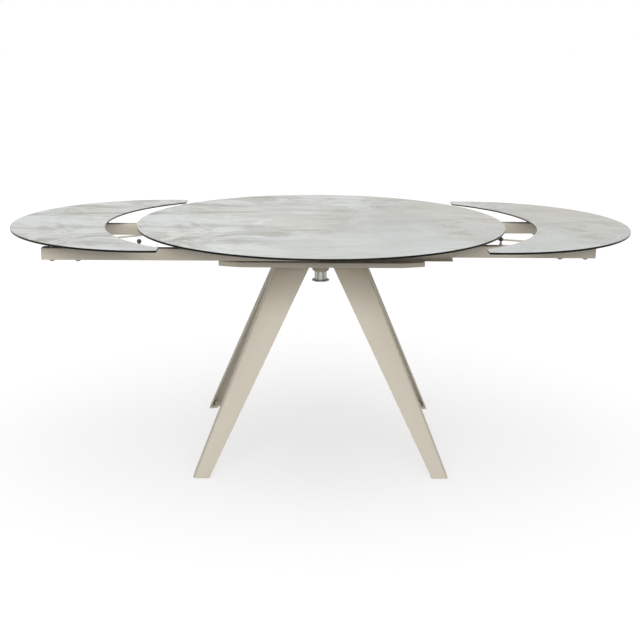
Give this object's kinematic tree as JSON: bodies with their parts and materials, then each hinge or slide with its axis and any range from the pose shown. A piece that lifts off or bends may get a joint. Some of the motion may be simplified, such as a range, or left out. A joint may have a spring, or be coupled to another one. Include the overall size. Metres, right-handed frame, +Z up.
{
  "type": "extending dining table",
  "caption": "Round dining table on splayed folded-sheet legs, with crescent leaves that slide out at both sides on telescopic beams.",
  "frame": {"origin": "on the floor under the middle of the round top", "axes": "+Z up, +X to the right along the line on which the leaves slide, +Y away from the viewer of the picture"},
  "size_m": [2.014, 1.2, 0.76],
  "materials": {
    "ceramic_top": "matt ceramic with a pale marble pattern",
    "dark_glass": "black opaque glass, polished edge",
    "coated_steel": "matt taupe powder coat",
    "coated_steel_dark": "matt taupe powder coat, hidden work",
    "zinc_steel": "zinc plated",
    "black_plastic": "matt black",
    "taupe_plastic": "matt, in the colour of the coat",
    "nylon": "natural nylon"
  },
  "bodies": {
    "base": {"disc_ceramic": "ceramic_top", "disc_glass": "dark_glass", "top_plate": "coated_steel_dark", "support_posts": "coated_steel_dark", "top_plate_screws": "zinc_steel", "rail_front_outer": "coated_steel_dark", "rail_front_inner": "coated_steel_dark", "rail_rear_inner": "coated_steel_dark", "rail_rear_outer": "coated_steel_dark", "base_plate": "coated_steel", "leg_front_left": "coated_steel", "leg_front_right": "coated_steel", "leg_rear_left": "coated_steel", "leg_rear_right": "coated_steel", "leg_caps": "coated_steel_dark", "leg_bolts": "zinc_steel", "foot_plate_front_left": "coated_steel", "foot_plate_front_right": "coated_steel", "foot_plate_rear_left": "coated_steel", "foot_plate_rear_right": "coated_steel", "bearing_tube": "coated_steel", "spindle_bushes": "nylon"},
    "sync": {"spindle": "zinc_steel", "sync_lever": "coated_steel_dark", "lever_pins": "zinc_steel", "spindle_nuts": "zinc_steel", "spindle_sleeve": "zinc_steel", "spindle_flange": "coated_steel_dark"},
    "carriage_left": {"beam_left_front": "coated_steel", "beam_left_rear": "coated_steel", "crossbar_left": "coated_steel", "runners_left": "coated_steel_dark", "gliders_left": "nylon", "end_caps_left": "taupe_plastic", "guide_bushes_left": "black_plastic", "guide_domes_left": "coated_steel_dark", "ball_rests_left": "black_plastic"},
    "leaf_left": {"leaf_left_ceramic": "ceramic_top", "leaf_left_glass": "dark_glass", "lift_shoes_left": "coated_steel_dark", "lift_pins_left": "zinc_steel"},
    "rod_left": {"rod_left": "coated_steel"},
    "carriage_right": {"beam_right_front": "coated_steel", "beam_right_rear": "coated_steel", "crossbar_right": "coated_steel", "runners_right": "coated_steel_dark", "gliders_right": "nylon", "end_caps_right": "taupe_plastic", "guide_bushes_right": "black_plastic", "guide_domes_right": "coated_steel_dark", "ball_rests_right": "black_plastic"},
    "leaf_right": {"leaf_right_ceramic": "ceramic_top", "leaf_right_glass": "dark_glass", "lift_shoes_right": "coated_steel_dark", "lift_pins_right": "zinc_steel"},
    "rod_right": {"rod_right": "coated_steel"},
    "glide_front_left": {"glide_front_left": "black_plastic"},
    "glide_front_right": {"glide_front_right": "black_plastic"},
    "glide_rear_left": {"glide_rear_left": "black_plastic"},
    "glide_rear_right": {"glide_rear_right": "black_plastic"}
  },
  "joints": [
    {"name": "leaf_left_slide", "type": "slide", "parent": "base", "child": "carriage_left", "axis": [1, 0, 0], "range_m": [0, 0.41]},
    {"name": "leaf_right_slide", "type": "slide", "parent": "base", "child": "carriage_right", "axis": [-1, 0, 0], "range_m": [0, 0.41]},
    {"name": "leaf_left_lift", "type": "slide", "parent": "carriage_left", "child": "leaf_left", "axis": [0, 0, -1], "range_m": [0, 0.0263]},
    {"name": "leaf_right_lift", "type": "slide", "parent": "carriage_right", "child": "leaf_right", "axis": [0, 0, -1], "range_m": [0, 0.0263]},
    {"name": "sync_turn", "type": "hinge", "parent": "base", "child": "sync", "pos_m": [0, 0, 0.7], "axis": [0, 0, 1], "range_deg": [-142.4, 0]},
    {"name": "rod_left_turn", "type": "hinge", "parent": "carriage_left", "child": "rod_left", "pos_m": [-0.815, -0.003, 0.69], "axis": [0, 0, 1], "range_deg": [0, 0.86]},
    {"name": "rod_right_turn", "type": "hinge", "parent": "carriage_right", "child": "rod_right", "pos_m": [0.815, 0.003, 0.69], "axis": [0, 0, 1], "range_deg": [0, 0.86]},
    {"name": "glide_front_left_screw", "type": "slide", "parent": "base", "child": "glide_front_left", "axis": [0, 0, -1], "range_m": [0, 0.008]},
    {"name": "glide_front_right_screw", "type": "slide", "parent": "base", "child": "glide_front_right", "axis": [0, 0, -1], "range_m": [0, 0.008]},
    {"name": "glide_rear_left_screw", "type": "slide", "parent": "base", "child": "glide_rear_left", "axis": [0, 0, -1], "range_m": [0, 0.008]},
    {"name": "glide_rear_right_screw", "type": "slide", "parent": "base", "child": "glide_rear_right", "axis": [0, 0, -1], "range_m": [0, 0.008]}
  ],
  "couplings": [
    {"joint": "leaf_right_slide", "follows": "leaf_left_slide", "ratio": 1},
    {"joint": "leaf_left_lift", "follows": "leaf_left_slide", "ratio": 0.064146},
    {"joint": "leaf_right_lift", "follows": "leaf_left_slide", "ratio": 0.064146},
    {"joint": "sync_turn", "follows": "leaf_left_slide", "rad_per_m": -6.0615},
    {"joint": "rod_left_turn", "follows": "leaf_left_slide", "rad_per_m": 0.036184},
    {"joint": "rod_right_turn", "follows": "leaf_left_slide", "rad_per_m": 0.036184}
  ]
}
